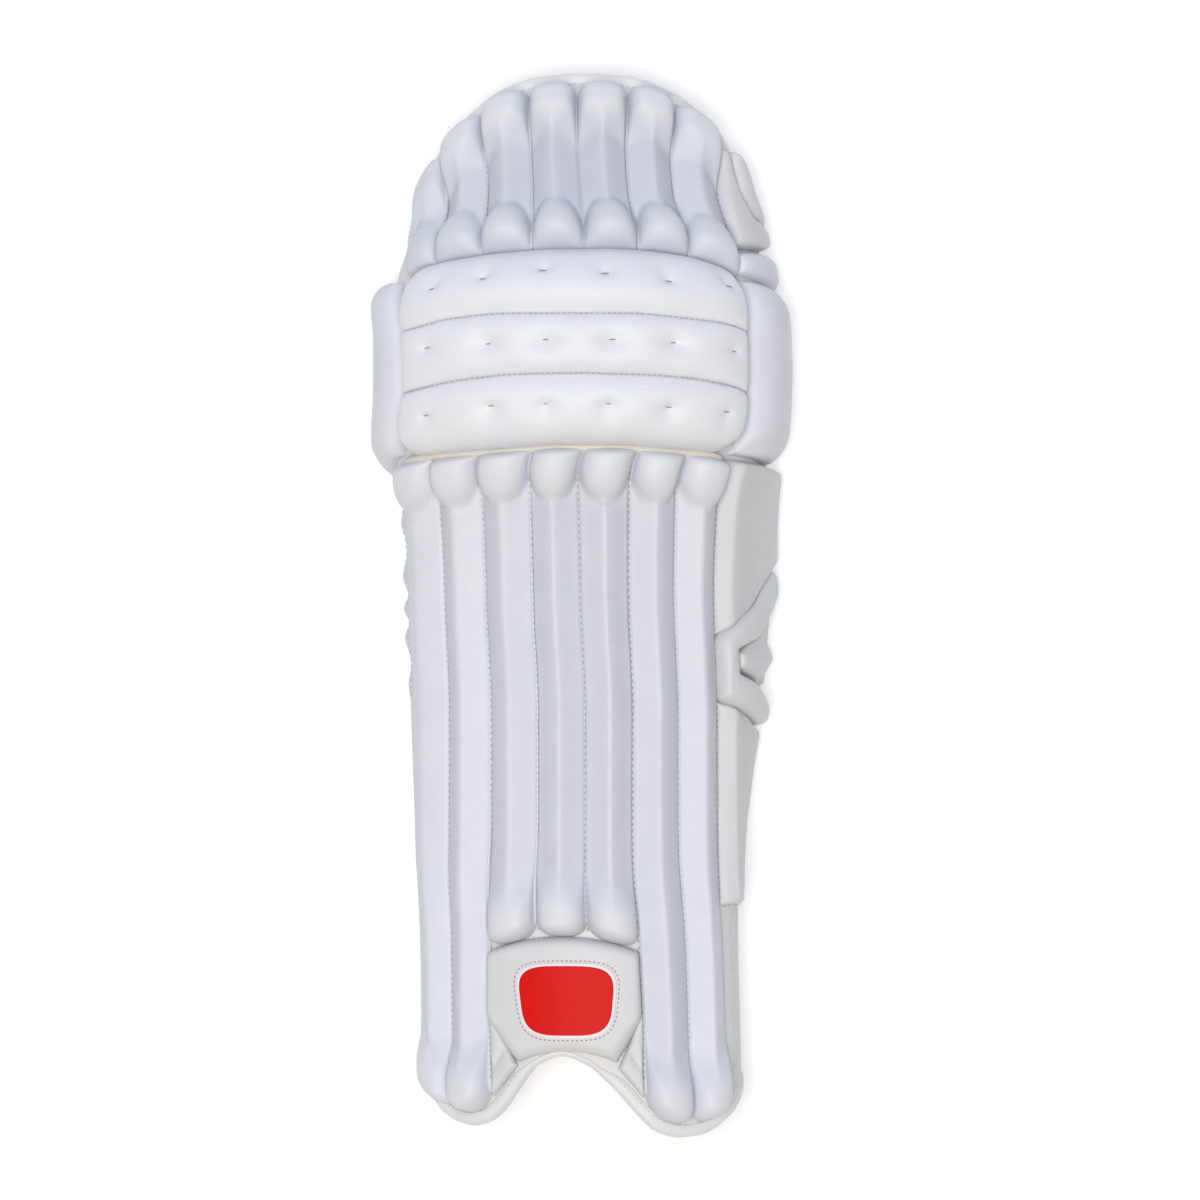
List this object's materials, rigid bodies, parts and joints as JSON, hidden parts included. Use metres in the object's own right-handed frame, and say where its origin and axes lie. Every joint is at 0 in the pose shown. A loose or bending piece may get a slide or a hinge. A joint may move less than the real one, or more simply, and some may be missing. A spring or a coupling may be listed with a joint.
{
  "type": "cricket batting pad",
  "caption": "Padded leg guard of white leather with vertical canes, a cross-padded knee roll, an outer side wing and straps, open behind for the leg.",
  "frame": {"origin": "on the floor under the middle of the pad's length and width", "axes": "+Z out of the front of the pad, +Y up the leg towards the thigh, +X towards the outer side of the leg"},
  "size_m": [0.2712, 0.6896, 0.1336],
  "materials": {
    "white_leather": "satin white PU leather",
    "backing_leather": "matt off-white lining leather",
    "red_plate": "glossy red with a white edge",
    "strap_webbing": "off-white webbing"
  },
  "bodies": {
    "root": {"backing_shell": "backing_leather", "edge_binding": "white_leather", "thigh_roll_1": "white_leather", "thigh_roll_2": "white_leather", "thigh_roll_3": "white_leather", "thigh_roll_4": "white_leather", "thigh_roll_5": "white_leather", "thigh_roll_6": "white_leather", "thigh_roll_7": "white_leather", "shin_cane_1": "white_leather", "shin_cane_2": "white_leather", "shin_cane_3": "white_leather", "shin_cane_4": "white_leather", "shin_cane_5": "white_leather", "shin_cane_6": "white_leather", "shin_cane_7": "white_leather", "knee_roll_lower": "white_leather", "knee_roll_middle": "white_leather", "knee_roll_upper": "white_leather", "knee_wing_inner": "white_leather", "knee_wing_outer": "white_leather", "thigh_wing_puff": "white_leather", "thigh_wing_front": "white_leather", "thigh_wing_side": "white_leather", "shin_wing_upper": "white_leather", "shin_wing_bend": "white_leather", "shin_wing_pocket": "white_leather", "shin_wing_lower": "white_leather", "instep_panel": "white_leather", "instep_gusset_inner": "white_leather", "instep_gusset_outer": "white_leather", "badge_plate": "red_plate", "strap_thigh": "strap_webbing", "strap_calf": "strap_webbing", "strap_ankle": "strap_webbing"}
  },
  "joints": []
}
